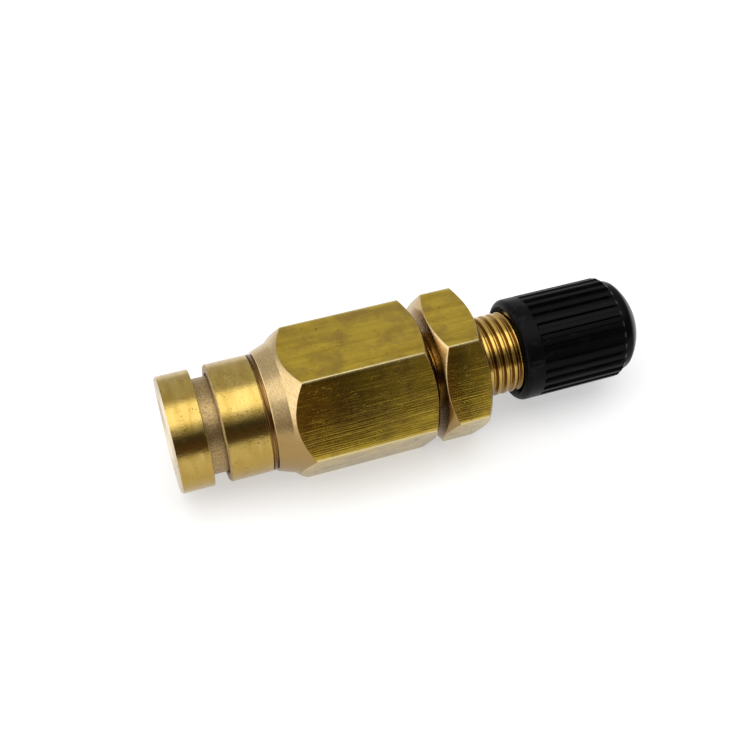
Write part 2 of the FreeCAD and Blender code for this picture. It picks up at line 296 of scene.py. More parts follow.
def deburr(piece, degrees):
    apply_modifier(piece, "BEVEL", width=DEBURRED, segments=2, limit_method="ANGLE",
                   angle_limit=math.radians(degrees), use_clamp_overlap=True,
                   harden_normals=False)


# %% [markdown]
# ## The body
# The body is the big hexagon. Its left end is turned down to a short tapered nose, with a steeper
# cone between the nose and the hexagon. Inside, from the nose: a counterbore for the sleeve, a
# pocket for the O-ring, the socket where the tube ends, a seat for the tube support, and the hole
# that the stem is pressed into. The nose and the cone meet at a shallow angle, so the limit for
# deburring and smoothing is low enough to keep their edge.

# %% The hexagon body
NOSE_FACE_RADIUS = 5.58 * MM
NOSE_RADIUS = 6.1 * MM
CONE_LENGTH = 1.43 * MM
HEX_LENGTH = 11.84 * MM
NOSE_BREAK = 0.08 * MM
COUNTERBORE = 5.05 * MM
TUBE_BORE = 3.25 * MM
SEAT_RADIUS = 2.15 * MM
EDGE_LIMIT = 18                      # degrees between two faces that still count as an edge
backup_low, backup_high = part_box("backup_ring")
pocket_end = backup_low.x + 2.4 * MM
seat_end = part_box("tube_support")[1].x
seat_start = seat_end - 1.2 * MM
cone_start = -HEX_LENGTH - CONE_LENGTH
cone_top = cone_start + CONE_LENGTH / (HEX_CORNER - NOSE_RADIUS) * (BEYOND_CORNERS - NOSE_RADIUS)
right_face, right_chamfer = end_chamfer(SHOULDER, -1)
body = hexagon("hexagon_body", body_low.x - MM, MM, [
    (body_low.x, 0), (body_low.x, NOSE_FACE_RADIUS - NOSE_BREAK),
    (body_low.x + NOSE_BREAK, NOSE_FACE_RADIUS), (cone_start, NOSE_RADIUS),
    (cone_top, BEYOND_CORNERS), right_chamfer, right_face, (SHOULDER, 0)])
socket = turn("body_socket", [
    (body_low.x - MM, 0), (body_low.x - MM, COUNTERBORE), (backup_low.x, COUNTERBORE),
    (backup_low.x, backup_high.z), (pocket_end, backup_high.z), (pocket_end, TUBE_BORE),
    (seat_start, TUBE_BORE), (seat_start, SEAT_RADIUS), (seat_end, SEAT_RADIUS),
    (seat_end, SPIGOT_RADIUS), (MM, SPIGOT_RADIUS), (MM, 0)])
combine(body, socket, "DIFFERENCE")
deburr(body, EDGE_LIMIT)
smooth(body, EDGE_LIMIT)
report(body)

# %% [markdown]
# ## The panel nut
# The nut is the same bar with a chamfer at both ends. Its thread is cut with the winding from
# above, a little larger, and then the hole is countersunk at both faces.

# %% The panel nut
COUNTERSINK = CREST + 0.35 * MM
NUT_EDGE_LIMIT = 24
root = CREST - THREAD_DEPTH
depth = COUNTERSINK - root
left_face, left_chamfer = end_chamfer(nut_low.x, 1)
right_face, right_chamfer = end_chamfer(nut_high.x, -1)
nut = hexagon("hexagon_nut", nut_low.x - MM, nut_high.x + MM, [
    (nut_low.x, 0), left_face, left_chamfer, right_chamfer, right_face, (nut_high.x, 0)])
deburr(nut, NUT_EDGE_LIMIT)
tap = threaded_bar("nut_tap", nut_low.x - 0.5 * MM, nut_high.x + 0.5 * MM, grow=THREAD_GAP)
combine(nut, tap, "DIFFERENCE")
for face, inward in ((nut_low.x, 1), (nut_high.x, -1)):
    outside = face - inward * 0.2 * MM
    countersink = turn("countersink", [
        (outside, 0), (outside, COUNTERSINK + 0.2 * MM),
        (face + inward * depth, root), (face + inward * depth, 0)])
    combine(nut, countersink, "DIFFERENCE")
smooth(nut, NUT_EDGE_LIMIT)
report(nut)

# %% [markdown]
# ## The dust cap
# The cap is one moulding: a plain collar with a rounded lip, a stretch of fine ribs for the
# fingers, and a smooth domed end. Half its section is drawn and spun in eight steps per rib. The
# vertices of the grooves, told by their angle, are then moved in to the grooves' floor, four out
# of eight, so each rib keeps the slightly sloping sides that let it leave its mould. Towards the
# dome the grooves run out into the smaller end.

# %% The ribbed cap
RIBS = 28
STEPS_PER_RIB = 8
RIB_DEPTH = 0.32 * MM
COLLAR_LENGTH = 1.83 * MM
RIB_LENGTH = 8.52 * MM
CAP_RADIUS = cap_high.z
END_RADIUS = 4.4 * MM
DOME_HEIGHT = 1.9 * MM
LIP = 0.6 * MM
MOUTH_EDGE = 0.08 * MM
rib_start = cap_low.x + COLLAR_LENGTH
rib_end = rib_start + RIB_LENGTH
dome_start = cap_high.x - DOME_HEIGHT
dome_radius = (END_RADIUS ** 2 + DOME_HEIGHT ** 2) / (2 * DOME_HEIGHT)
dome_edge = math.degrees(math.asin(END_RADIUS / dome_radius))
bore_radius = CREST + 0.05 * MM
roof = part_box("cap_gasket")[1].x + 0.02 * MM
section = [(roof, 0), (roof, bore_radius), (cap_low.x + 0.6 * MM, bore_radius),
           (cap_low.x + 0.04 * MM, bore_radius + 0.45 * MM)]
section += rounded((cap_low.x + MOUTH_EDGE, bore_radius + 0.5 * MM), MOUTH_EDGE, 230, 180, 2)
section += rounded((cap_low.x + LIP, CAP_RADIUS - LIP), LIP, 180, 90, 8)
section += [(rib_start, CAP_RADIUS), (rib_start + 0.22 * MM, CAP_RADIUS)]
section += [(rib_start + (rib_end - 0.3 * MM - rib_start) * share, CAP_RADIUS)
            for share in (0.35, 0.7, 1.0)]
section += [(rib_end - 0.08 * MM, CAP_RADIUS - 0.16 * MM), (rib_end, CAP_RADIUS - 0.34 * MM),
            (rib_end + 0.01 * MM, END_RADIUS), (dome_start - 0.12 * MM, END_RADIUS)]
section += rounded((cap_high.x - dome_radius, 0), dome_radius, dome_edge - 2.0, 0, 14)
cap = turn("ribbed_cap", section, steps=RIBS * STEPS_PER_RIB)
groove_floor = CAP_RADIUS - RIB_DEPTH
for vertex in cap.data.vertices:
    radius = math.hypot(vertex.co.y, vertex.co.z)
    turned_by = math.atan2(vertex.co.y, vertex.co.z) / (2 * math.pi) * RIBS * STEPS_PER_RIB
    in_groove = round(turned_by) % STEPS_PER_RIB in (0, 1, 2, 7)
    in_ribs = rib_start + 0.1 * MM < vertex.co.x < rib_end + 0.005 * MM
    if in_groove and in_ribs and radius > groove_floor:
        vertex.co.y *= groove_floor / radius
        vertex.co.z *= groove_floor / radius
merge_doubles(cap)
smooth(cap, 32)
report(cap)

# %% [markdown]
# ## The remodelled pieces in place of the frame's
# Each remodelled piece moves with the body that its plain solid belongs to, and stands in for that
# solid, which is hidden.

# %% Ride and replace
for piece, body_name, node, finish in (
        (body, "valve", "valve_body", "bar_brass"), (stem, "valve", "valve_stem", "stem_brass"),
        (nut, "nut", "panel_nut", "bar_brass"), (cap, "cap", "dust_cap", "cap_plastic")):
    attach(piece, body_name)
    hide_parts(node)
    print(piece.name, "rides on", body_name)

# %% [markdown]
# ## Building materials in code
# A material is a small graph of nodes. Adding nodes by hand in the shader editor and adding them
# here is the same work, so three short helpers keep it readable: one adds any node and fills its
# sockets, one adds a Math node, and one turns a value between two limits into a soft mask.

# %% Helpers: nodes, maths and masks
def add(tree, kind, sockets=None, **settings):
    """A node with its settings made and its sockets filled, by value or by link."""
    node = tree.nodes.new(kind)
    for setting, value in settings.items():
        setattr(node, setting, value)
    for socket, value in (sockets or {}).items():
        if isinstance(value, bpy.types.NodeSocket):
            tree.links.new(value, node.inputs[socket])
        else:
            node.inputs[socket].default_value = value
    return node


def maths(tree, operation, first, second=0.0):
    node = add(tree, "ShaderNodeMath", {0: first, 1: second}, operation=operation)
    return node.outputs[0]


def mask(tree, value, low, high):
    """0 below the low limit, 1 above the high one, soft between. Swapped limits turn it round."""
    limits = {"Value": value, "From Min": low, "From Max": high}
    return add(tree, "ShaderNodeMapRange", limits, interpolation_type="SMOOTHSTEP").outputs[0]


def mix(tree, share, first, second):
    """Mixes two colours."""
    node = add(tree, "ShaderNodeMix", {0: share, 6: first, 7: second}, data_type="RGBA")
    return node.outputs[2]


def lerp(tree, share, first, second):
    """Mixes two plain values."""
    return add(tree, "ShaderNodeMix", {0: share, 2: first, 3: second}).outputs[0]


# %% [markdown]
# ## Effects that several finishes share
# Each effect is a node group with named inputs and outputs, built once. All of them read object
# coordinates, which here are metres from the shoulder of the body, so a scale of 10000 means a
# detail of a tenth of a millimetre. They put out masks and heights only; the shader stays in each
# material.

# %% Helpers: an empty effect group, places and noise
def new_effect(name, inputs, outputs):
    tree = bpy.data.node_groups.new(name, "ShaderNodeTree")
    for socket, value in inputs.items():
        tree.interface.new_socket(socket, in_out="INPUT",
                                  socket_type="NodeSocketFloat").default_value = value
    for socket in outputs:
        tree.interface.new_socket(socket, in_out="OUTPUT", socket_type="NodeSocketFloat")
    given = add(tree, "NodeGroupInput").outputs
    result = add(tree, "NodeGroupOutput").inputs
    place = add(tree, "ShaderNodeTexCoord").outputs["Object"]
    return tree, given, result, place


def axis_and_radius(tree, place):
    """Distance along the axis, and distance from it."""
    parts = add(tree, "ShaderNodeSeparateXYZ", {0: place}).outputs
    across = add(tree, "ShaderNodeCombineXYZ", {1: parts[1], 2: parts[2]}).outputs[0]
    return parts[0], add(tree, "ShaderNodeVectorMath", {0: across}, operation="LENGTH").outputs[1]


# Used for painted shade: a mask that darkens the lower part of a piece.
def shade_below_height(tree, place, clear, full):
    """A mask over the height: 0 above the clear height, 1 below the full one."""
    height_above = add(tree, "ShaderNodeSeparateXYZ", {0: place}).outputs[2]
    return mask(tree, height_above, clear, full)


def noise(tree, place, scale, detail=3.0, roughness=0.55, distortion=0.0):
    return add(tree, "ShaderNodeTexNoise", {
        "Vector": place, "Scale": scale, "Detail": detail, "Roughness": roughness,
        "Distortion": distortion}).outputs[0]


# %% [markdown]
# Turning marks are the fine grooves that a lathe tool leaves: rings round the axis, on faces and on
# outsides alike. Noise over the distance along the axis and the distance from it gives both. A
# little of the plain position is mixed in, so that no ring is perfect all the way round.

# %% Effect: turning marks
tree, given, result, place = new_effect(
    "turning_marks", {"Rings per metre": 14000.0, "Wander": 0.03}, ("Rings", "Broad bands"))
along, radius = axis_and_radius(tree, place)
ring_place = add(tree, "ShaderNodeCombineXYZ", {0: along, 1: radius}).outputs[0]
wander = add(tree, "ShaderNodeVectorMath", {0: place, "Scale": given["Wander"]},
             operation="SCALE").outputs[0]
ring_place = add(tree, "ShaderNodeVectorMath", {0: ring_place, 1: wander}).outputs[0]
tree.links.new(noise(tree, ring_place, given["Rings per metre"], 4.0), result["Rings"])
broad = maths(tree, "MULTIPLY", given["Rings per metre"], 0.12)
tree.links.new(noise(tree, ring_place, broad, 2.0), result["Broad bands"])
print("effect:", tree.name)

# %% [markdown]
# Hexagon bar is pulled through a die, which draws long fine lines and smears small pits into short
# dark dashes. Both are noise that is squeezed across the bar and stretched along it.

# %% Effect: drawn bar
tree, given, result, place = new_effect(
    "drawn_bar", {"Lines per metre": 9000.0, "Pits": 0.5}, ("Lines", "Streaks", "Pits"))


def stretched(tree, place, stretch):
    """Coordinates that change slowly along the axis."""
    squeeze = {0: place, 1: (1 / stretch, 1.0, 1.0)}
    return add(tree, "ShaderNodeVectorMath", squeeze, operation="MULTIPLY").outputs[0]


lines = noise(tree, stretched(tree, place, 90.0), given["Lines per metre"], 4.0, 0.65)
tree.links.new(lines, result["Lines"])
streaks = noise(tree, stretched(tree, place, 14.0), 1300.0, 3.0, 0.6)
tree.links.new(streaks, result["Streaks"])
dashes = noise(tree, stretched(tree, place, 3.2), 5200.0, 2.0, 0.5)
clusters = noise(tree, place, 420.0, 2.0)
dashes = maths(tree, "ADD", dashes, maths(tree, "MULTIPLY", clusters, 0.35))
pit_edge = maths(tree, "SUBTRACT", 0.94, maths(tree, "MULTIPLY", given["Pits"], 0.16))
pits = mask(tree, dashes, pit_edge, maths(tree, "ADD", pit_edge, 0.06))
tree.links.new(pits, result["Pits"])
print("effect:", tree.name)

# %% [markdown]
# Brass that has been handled is dotted with small dark specks, and clouded by a thin brown
# tarnish that comes and goes over a millimetre or two.

# %% Effect: specks and tarnish
tree, given, result, place = new_effect(
    "specks_and_tarnish", {"Speck size per metre": 5200.0, "Specks": 0.5}, ("Specks", "Tarnish"))
dots = noise(tree, place, given["Speck size per metre"], 2.0, 0.5)
dots = maths(tree, "ADD", dots, maths(tree, "MULTIPLY", noise(tree, place, 700.0), 0.3))
dot_edge = maths(tree, "SUBTRACT", 0.93, maths(tree, "MULTIPLY", given["Specks"], 0.14))
tree.links.new(mask(tree, dots, dot_edge, maths(tree, "ADD", dot_edge, 0.05)), result["Specks"])
clouds = noise(tree, place, 520.0, 4.0, 0.6, 0.4)
tree.links.new(mask(tree, clouds, 0.38, 0.72), result["Tarnish"])
print("effect:", tree.name)

# %% [markdown]
# Hairline scratches are the places where a slowly changing noise crosses its middle value: such a
# crossing is a long thin wandering line. A second noise rubs most of them out.

# %% Effect: hairline scratches
tree, given, result, place = new_effect(
    "hairlines", {"Size per metre": 900.0, "Width": 0.012, "Amount": 0.5}, ("Scratches",))
tilted = add(tree, "ShaderNodeMapping", {"Vector": place, "Rotation": (0.3, 0.5, 0.7),
                                         "Scale": (0.25, 1.0, 1.4)}).outputs[0]
field = noise(tree, tilted, given["Size per metre"], 1.0, 0.5)
offset = maths(tree, "ABSOLUTE", maths(tree, "SUBTRACT", field, 0.5))
line = mask(tree, offset, given["Width"], 0.0)
patches = noise(tree, place, 640.0, 1.0)
patch_edge = maths(tree, "SUBTRACT", 0.75, maths(tree, "MULTIPLY", given["Amount"], 0.35))
kept = mask(tree, patches, patch_edge, maths(tree, "ADD", patch_edge, 0.08))
tree.links.new(maths(tree, "MULTIPLY", line, kept), result["Scratches"])
print("effect:", tree.name)

# %% [markdown]
# Corners that stand out are rubbed bright. Everything here is round about one axis, so a corner is
# simply what lies farthest from it: a mask over the radius, with a ragged edge.

# %% Effect: rubbed corners
tree, given, result, place = new_effect(
    "rubbed_corners", {"From radius": 0.007, "To radius": 0.0073, "Ragged": 0.00008}, ("Rubbed",))
along, radius = axis_and_radius(tree, place)
ragged = maths(tree, "MULTIPLY", maths(tree, "SUBTRACT", noise(tree, place, 4000.0), 0.5),
               given["Ragged"])
rubbed = mask(tree, maths(tree, "ADD", radius, ragged), given["From radius"], given["To radius"])
tree.links.new(rubbed, result["Rubbed"])
print("effect:", tree.name)

# %% [markdown]
# ## Starting a finish
# Every finish is one Principled shader. What is the same all over a piece, such as how metallic it
# is, is typed into the shader's own socket. What changes over the surface comes from the effects,
# which are placed like any other node, each with its own values. A bump turns a height into relief:
# its distance is the true depth, here a few thousandths of a millimetre.

# %% Helpers: start a finish and place an effect in it
def new_finish(name, sockets):
    """A material with one Principled shader, its plain sockets set directly."""
    material = bpy.data.materials.new(name)
    material.use_nodes = True
    tree = material.node_tree
    tree.nodes.clear()
    shader = add(tree, "ShaderNodeBsdfPrincipled", sockets)
    add(tree, "ShaderNodeOutputMaterial", {0: shader.outputs[0]})
    place = add(tree, "ShaderNodeTexCoord").outputs["Object"]
    print("finish:", name)
    return material, tree, shader.inputs, place


def effect(tree, name, **sockets):
    node = add(tree, "ShaderNodeGroup", node_tree=bpy.data.node_groups[name])
    for socket, value in sockets.items():
        node.inputs[socket.replace("_", " ")].default_value = value
    return node.outputs


def roughen(tree, sockets, height, depth):
    """Gives the shader a bump of the height times the depth in metres."""
    bump = add(tree, "ShaderNodeBump", {"Height": height, "Distance": depth, "Strength": 1.0})
    tree.links.new(bump.outputs[0], sockets["Normal"])


# %% [markdown]
# ## Drawn hexagon bar
# The flats of the body and the nut keep the skin of the bar: olive-yellow brass with fine
# lengthwise lines, short dark pits, a few clouds of brown tarnish, and six long corners rubbed
# bright. The lines are mostly relief: a flat that faces a dark part of the room then shows them as
# bright threads, and a flat that faces a bright part hardly shows them at all.

# %% Finish: drawn bar
BAR_BRASS = (0.56, 0.395, 0.050, 1)
DEEP_BRASS = (0.38, 0.255, 0.030, 1)
PALE_BRASS = (0.80, 0.68, 0.36, 1)
BROWN_CLOUD = (0.25, 0.150, 0.045, 1)
PIT_BROWN = (0.07, 0.040, 0.010, 1)
CORNER_FROM = 7.22 * MM
CORNER_TO = 7.31 * MM
bar_finish, tree, shader, place = new_finish("drawn_bar_brass", {"Metallic": 1.0})
bar = effect(tree, "drawn_bar", Pits=0.55)
age = effect(tree, "specks_and_tarnish", Specks=0.45)
corner = effect(tree, "rubbed_corners", From_radius=CORNER_FROM, To_radius=CORNER_TO)["Rubbed"]
colour = mix(tree, mask(tree, bar["Streaks"], 0.35, 0.8), BAR_BRASS, DEEP_BRASS)
dark_lines = maths(tree, "MULTIPLY", mask(tree, bar["Lines"], 0.5, 0.3), 0.45)
colour = mix(tree, dark_lines, colour, DEEP_BRASS)
bright_lines = maths(tree, "MULTIPLY", mask(tree, bar["Lines"], 0.6, 0.8), 0.35)
colour = mix(tree, bright_lines, colour, PALE_BRASS)
colour = mix(tree, maths(tree, "MULTIPLY", age["Tarnish"], 0.6), colour, BROWN_CLOUD)
colour = mix(tree, maths(tree, "MULTIPLY", bar["Pits"], 0.7), colour, PIT_BROWN)
colour = mix(tree, maths(tree, "MULTIPLY", age["Specks"], 0.5), colour, PIT_BROWN)
colour = mix(tree, maths(tree, "MULTIPLY", corner, 0.8), colour, PALE_BRASS)
tree.links.new(colour, shader["Base Color"])
rough = lerp(tree, bar["Lines"], 0.13, 0.22)
rough = lerp(tree, corner, lerp(tree, bar["Pits"], rough, 0.6), 0.3)
tree.links.new(rough, shader["Roughness"])
height = maths(tree, "SUBTRACT", bar["Lines"], maths(tree, "MULTIPLY", bar["Pits"], 0.2))
roughen(tree, shader, height, 0.017 * MM)

# %% [markdown]
# ## Turned brass
# Where the tool has cut, the brass is paler and pinker, a satin champagne with fine rings and a
# dusting of specks. It covers the nose, the cone, the chamfers and everything inside. Towards
# the bottom the colour is painted browner, as shade.

# %% Finish: turned brass
CHAMPAGNE = (0.60, 0.45, 0.235, 1)
TAN = (0.42, 0.29, 0.125, 1)
SHADE_TAN = (0.31, 0.20, 0.068, 1)
turned_finish, tree, shader, place = new_finish("turned_brass", {"Metallic": 1.0})
marks = effect(tree, "turning_marks", Rings_per_metre=16000.0, Wander=0.25)
age = effect(tree, "specks_and_tarnish", Specks=0.75, Speck_size_per_metre=9000.0)
grit = noise(tree, place, 11000.0, 3.0, 0.7)
colour = mix(tree, mask(tree, marks["Rings"], 0.3, 0.75), CHAMPAGNE, TAN)
colour = mix(tree, maths(tree, "MULTIPLY", age["Tarnish"], 0.35), colour, TAN)
colour = mix(tree, maths(tree, "MULTIPLY", mask(tree, grit, 0.45, 0.25), 0.5), colour, TAN)
# Painted shade: the colour turns to a browner tan towards the bottom.
painted_low_shade = shade_below_height(tree, place, 4.6 * MM, 1.2 * MM)
colour = mix(tree, maths(tree, "MULTIPLY", painted_low_shade, 0.9), colour, SHADE_TAN)
colour = mix(tree, maths(tree, "MULTIPLY", age["Specks"], 0.4), colour, PIT_BROWN)
tree.links.new(colour, shader["Base Color"])
tree.links.new(lerp(tree, marks["Broad bands"], 0.18, 0.30), shader["Roughness"])
roughen(tree, shader, maths(tree, "ADD", marks["Rings"], grit), 0.007 * MM)

# %% [markdown]
# ## Polished collet and sleeve
# The release collet and the sleeve round it are polished yellow brass. The polish is old: a fine
# grit breaks up its reflections, and a few dings and hairlines show. The collet's neck, its end
# face and the sleeve's lip are only turned, so masks along the axis give them a satin finish, brown
# on the neck and pale on the face.

# %% Finish: polished brass
NECK_BROWN = (0.24, 0.165, 0.080, 1)
PALE_CHAMPAGNE = (0.60, 0.52, 0.40, 1)
GOLD = (0.50, 0.36, 0.105, 1)
OLD_GOLD_AND_SHADE = (0.38, 0.25, 0.055, 1)
sleeve_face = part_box("retainer_sleeve")[0].x
collet_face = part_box("release_collet")[0].x
head_end = collet_face + 3.07 * MM   # where the collet's head steps down to its neck
polished_finish, tree, shader, place = new_finish("polished_brass", {"Metallic": 1.0})
marks = effect(tree, "turning_marks", Rings_per_metre=9000.0, Wander=0.3)
age = effect(tree, "specks_and_tarnish", Specks=0.85, Speck_size_per_metre=6000.0)
hair = effect(tree, "hairlines", Amount=0.5, Width=0.008)["Scratches"]
grit = noise(tree, place, 7000.0, 4.0, 0.65)
along = add(tree, "ShaderNodeSeparateXYZ", {0: place}).outputs[0]
after_head = mask(tree, along, head_end - 0.06 * MM, head_end + 0.02 * MM)
neck = maths(tree, "MULTIPLY", after_head,
             mask(tree, along, sleeve_face + 0.2 * MM, sleeve_face + 0.14 * MM))
end_face = mask(tree, along, collet_face + 0.22 * MM, collet_face + 0.18 * MM)
satin = maths(tree, "MAXIMUM", neck, end_face)
colour = mix(tree, mask(tree, marks["Broad bands"], 0.25, 0.8), GOLD, OLD_GOLD_AND_SHADE)
colour = mix(tree, maths(tree, "MULTIPLY", age["Tarnish"], 0.4), colour, OLD_GOLD_AND_SHADE)
satin_colour = mix(tree, mask(tree, grit, 0.35, 0.6), NECK_BROWN, TAN)
satin_colour = mix(tree, end_face, satin_colour, PALE_CHAMPAGNE)
# Painted shade: the lower half of the collet and sleeve is darkened towards the bottom.
painted_low_shade = shade_below_height(tree, place, 2.0 * MM, -0.5 * MM)
colour = mix(tree, maths(tree, "MULTIPLY", painted_low_shade, 0.7), colour, OLD_GOLD_AND_SHADE)
colour = mix(tree, satin, colour, satin_colour)
colour = mix(tree, maths(tree, "MULTIPLY", age["Specks"], 0.65), colour, PIT_BROWN)
colour = mix(tree, maths(tree, "MULTIPLY", hair, 0.4), colour, PALE_BRASS)
tree.links.new(colour, shader["Base Color"])
rough = lerp(tree, marks["Broad bands"], 0.12, 0.24)
tree.links.new(lerp(tree, satin, rough, 0.42), shader["Roughness"])
height = maths(tree, "SUBTRACT", grit, maths(tree, "MULTIPLY", hair, 0.5))
roughen(tree, shader, height, 0.012 * MM)

# %% [markdown]
# ## The shim ring
# The thin ring behind the sleeve's flange is redder, nearer to copper, and painted dark as shade
# in the narrow gap between the flange and the body.

# %% Finish: copper ring
COPPER = (0.34, 0.17, 0.055, 1)
COPPER_GAP_SHADE = (0.10, 0.04, 0.014, 1)
copper_finish, tree, shader, place = new_finish("copper_ring", {"Metallic": 1.0})
marks = effect(tree, "turning_marks", Rings_per_metre=12000.0)
age = effect(tree, "specks_and_tarnish", Specks=0.5)
# The darker of the two copper tones is painted shade of the gap the ring sits in.
colour = mix(tree, mask(tree, marks["Rings"], 0.3, 0.65), COPPER, COPPER_GAP_SHADE)
colour = mix(tree, maths(tree, "MULTIPLY", age["Specks"], 0.5), colour, PIT_BROWN)
tree.links.new(colour, shader["Base Color"])
tree.links.new(lerp(tree, marks["Broad bands"], 0.2, 0.36), shader["Roughness"])
roughen(tree, shader, marks["Rings"], 0.006 * MM)

# %% [markdown]
# ## The stem's thread
# A cut thread is bright along its crests, where it rubs, and browner on its flanks, where oil and
# tarnish stay. The radius tells one from the other. The colour is a warm golden orange. Towards
# the bottom it is painted browner, as shade, mixed with real tarnish.

# %% Finish: threaded stem
CREST_GOLD = (0.58, 0.39, 0.095, 1)
FLANK_AND_SHADE_BROWN = (0.26, 0.145, 0.036, 1)
ROOT_ORANGE = (0.44, 0.27, 0.058, 1)
stem_finish, tree, shader, place = new_finish("stem_brass", {"Metallic": 1.0})
marks = effect(tree, "turning_marks", Rings_per_metre=26000.0, Wander=0.2)
age = effect(tree, "specks_and_tarnish", Specks=0.6, Speck_size_per_metre=8000.0)
crest = effect(tree, "rubbed_corners", From_radius=CREST - 0.07 * MM,
               To_radius=CREST - 0.01 * MM, Ragged=0.06 * MM)["Rubbed"]
flank = effect(tree, "rubbed_corners", From_radius=root - 0.02 * MM,
               To_radius=root + 0.1 * MM, Ragged=0.1 * MM)["Rubbed"]
colour = mix(tree, flank, ROOT_ORANGE, FLANK_AND_SHADE_BROWN)
colour = mix(tree, crest, colour, CREST_GOLD)
# Painted shade: the thread goes browner towards the bottom, mixed with real tarnish.
painted_low_shade = shade_below_height(tree, place, 1.8 * MM, 0.0)
tarnish_and_shade = maths(tree, "MAXIMUM", painted_low_shade, maths(tree, "MULTIPLY", age["Tarnish"], 0.5))
colour = mix(tree, maths(tree, "MULTIPLY", tarnish_and_shade, 0.7), colour, FLANK_AND_SHADE_BROWN)
colour = mix(tree, maths(tree, "MULTIPLY", age["Specks"], 0.5), colour, PIT_BROWN)
tree.links.new(colour, shader["Base Color"])
tree.links.new(lerp(tree, marks["Rings"], 0.12, 0.26), shader["Roughness"])
roughen(tree, shader, marks["Rings"], 0.008 * MM)

# %% [markdown]
# ## Black moulded plastic
# The cap is satin black. Its collar and ribs are a little scuffed and dusty, with a fine moulded
# grain, and the domed end is smoother and glossier.

# %% Finish: cap plastic
BLACK = (0.0018, 0.0018, 0.0020, 1)
SCUFFED = (0.016, 0.016, 0.017, 1)
cap_finish, tree, shader, place = new_finish("cap_plastic", {"Specular IOR Level": 0.06})
hair = effect(tree, "hairlines", Amount=0.7, Size_per_metre=1300.0, Width=0.02)["Scratches"]
grain = noise(tree, place, 9000.0, 3.0, 0.6)
dust = mask(tree, noise(tree, place, 900.0, 5.0, 0.7), 0.52, 0.78)
along = add(tree, "ShaderNodeSeparateXYZ", {0: place}).outputs[0]
dome = mask(tree, along, rib_end, rib_end + 0.2 * MM)
collar = mask(tree, along, rib_start + 0.05 * MM, rib_start - 0.05 * MM)
colour = mix(tree, maths(tree, "MULTIPLY", dust, lerp(tree, collar, 0.15, 0.8)), BLACK, SCUFFED)
colour = mix(tree, maths(tree, "MULTIPLY", hair, 0.4), colour, SCUFFED)
tree.links.new(colour, shader["Base Color"])
rough = lerp(tree, dome, lerp(tree, dust, 0.34, 0.5), lerp(tree, dust, 0.22, 0.34))
tree.links.new(rough, shader["Roughness"])
roughen(tree, shader, grain, 0.006 * MM)

# %% [markdown]
# ## Rubber, nylon, gasket and spring
# These pieces are deep inside, but a pose or a cutaway shows them, so each has its own finish:
# matt moulded rubber with a faint bloom, natural nylon, a smooth red gasket and drawn steel wire.

# %% Finishes: soft and hidden pieces
def moulded(name, deep, pale, smoothest, roughest, sockets=None):
    """A moulded finish: two tones that cloud into each other over a fine grain."""
    material, tree, shader, place = new_finish(name, sockets or {})
    clouds = mask(tree, noise(tree, place, 1100.0, 4.0, 0.6), 0.35, 0.75)
    grain = noise(tree, place, 14000.0, 2.0)
    tree.links.new(mix(tree, clouds, deep, pale), shader["Base Color"])
    tree.links.new(lerp(tree, grain, smoothest, roughest), shader["Roughness"])
    roughen(tree, shader, grain, 0.004 * MM)
    return material


rubber_finish = moulded("black_rubber", (0.012, 0.012, 0.012, 1), (0.035, 0.034, 0.033, 1),
                        0.55, 0.85)
nylon_finish = moulded("nylon", (0.70, 0.67, 0.56, 1), (0.84, 0.82, 0.73, 1), 0.35, 0.55)
gasket_finish = moulded("red_gasket", (0.42, 0.02, 0.012, 1), (0.62, 0.05, 0.03, 1), 0.25, 0.45)
spring_finish = moulded("spring_steel", (0.45, 0.44, 0.42, 1), (0.66, 0.65, 0.62, 1), 0.2, 0.4,
                        {"Metallic": 1.0})

# %% [markdown]
# ## Giving every piece its finish
# The body and the nut get two finishes, told apart by their faces: the long flats and their corners
# point away from the axis and lie outside the turned diameters, and everything else was cut by a
# tool. The pieces that come straight from the frame keep their meshes, and only their material
# slots change.

# %% Assign the finishes
FLATS_FROM = HEX_FACE_RADIUS + 0.03 * MM
for piece in (body, nut):
    piece.data.materials.clear()
    piece.data.materials.append(bar_finish)
    piece.data.materials.append(turned_finish)
    for face in piece.data.polygons:
        radius = math.hypot(face.center.y, face.center.z)
        is_flat = abs(face.normal.x) < 0.2 and radius > FLATS_FROM
        face.material_index = 0 if is_flat else 1
for piece, finish in ((stem, stem_finish), (cap, cap_finish)):
    piece.data.materials.clear()
    piece.data.materials.append(finish)

NODE_FINISHES = {
    "release_collet": polished_finish, "retainer_sleeve": polished_finish,
    "shim_ring": copper_finish, "backup_ring": nylon_finish, "tube_o_ring": rubber_finish,
    "tube_support": turned_finish, "core_plug": turned_finish, "core_barrel": turned_finish,
    "core_gasket": gasket_finish, "core_spring": spring_finish, "core_pin": turned_finish,
    "pin_collar": turned_finish, "plunger_cup": turned_finish, "plunger_seal": rubber_finish,
    "cap_gasket": rubber_finish}
for name, finish in NODE_FINISHES.items():
    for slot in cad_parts[name].material_slots:
        slot.material = finish
print(len(NODE_FINISHES), "frame pieces have new finishes")

# %% [markdown]
# ## The floor
# The valve lies on one flat of its hexagon, on a plain pale sheet over a light table. The light in
# the sheet fills the shadows. The sheet is a plane with a very faint unevenness in its tone, big
# enough that its edge is never in view.

